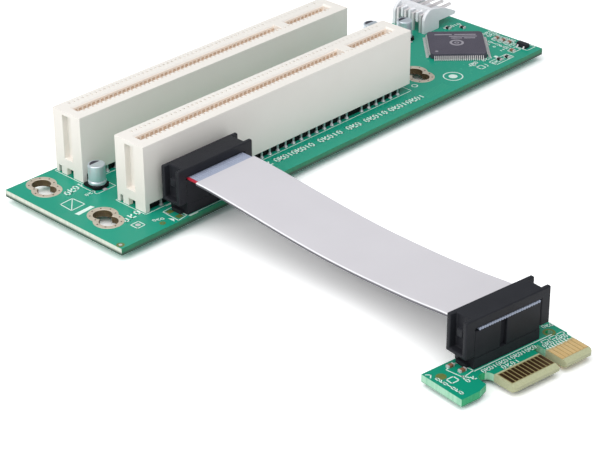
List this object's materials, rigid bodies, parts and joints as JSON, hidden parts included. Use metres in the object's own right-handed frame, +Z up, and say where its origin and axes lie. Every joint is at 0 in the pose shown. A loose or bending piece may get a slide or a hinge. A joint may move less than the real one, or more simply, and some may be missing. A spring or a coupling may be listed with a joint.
{
  "type": "pcie riser card",
  "caption": "Riser card: a board with parallel long card slots, joined by a wrapped flat ribbon cable to a small card with an edge connector.",
  "frame": {"origin": "middle of the whole part's box in plan, on the surface that the pegs and tails rest on", "axes": "+X along the slots towards the bridge chip, +Y from the small card back to the main board, +Z up out of the slots"},
  "size_m": [0.14, 0.1308, 0.0188],
  "materials": {
    "board_green": "green solder mask over glass laminate",
    "plated_copper": "tinned copper",
    "slot_plastic": "warm white moulding",
    "contact_gold": "gold flash over copper alloy",
    "finger_gold": "hard gold plating",
    "black_plastic": "fine matt moulding",
    "ribbon_grey": "ribbed grey insulation with one red edge wire",
    "wrap_film": "smooth pale grey film",
    "tinned_metal": "tin plated",
    "chip_black": "moulded epoxy",
    "can_aluminium": "bright drawn can",
    "power_white": "white nylon",
    "part_black": "glazed black",
    "part_tan": "tan ceramic"
  },
  "bodies": {
    "root": {"bridge_chip": "chip_black", "bridge_chip_leads": "tinned_metal", "capacitor_1_base": "black_plastic", "capacitor_1_can": "can_aluminium", "capacitor_1_leads": "tinned_metal", "capacitor_2_base": "black_plastic", "capacitor_2_can": "can_aluminium", "capacitor_2_leads": "tinned_metal", "capacitor_3_base": "black_plastic", "capacitor_3_can": "can_aluminium", "capacitor_3_leads": "tinned_metal", "card_chip_ends": "tinned_metal", "card_chip_parts": "part_tan", "card_cover": "black_plastic", "card_header": "black_plastic", "card_header_pins": "tinned_metal", "card_socket": "black_plastic", "chip_capacitor_ends": "tinned_metal", "chip_capacitors": "part_tan", "chip_resistor_ends": "tinned_metal", "chip_resistors": "part_black", "edge_card": "board_green", "edge_fingers": "finger_gold", "hole_plating": "plated_copper", "main_board": "board_green", "main_cover": "black_plastic", "main_header": "black_plastic", "main_header_pins": "tinned_metal", "main_socket": "black_plastic", "power_housing": "power_white", "power_pins": "tinned_metal", "regulator": "chip_black", "regulator_legs": "tinned_metal", "ribbon_cable": "ribbon_grey", "ribbon_wrap": "wrap_film", "slot_1_contacts": "contact_gold", "slot_1_housing": "slot_plastic", "slot_2_contacts": "contact_gold", "slot_2_housing": "slot_plastic"}
  },
  "joints": []
}
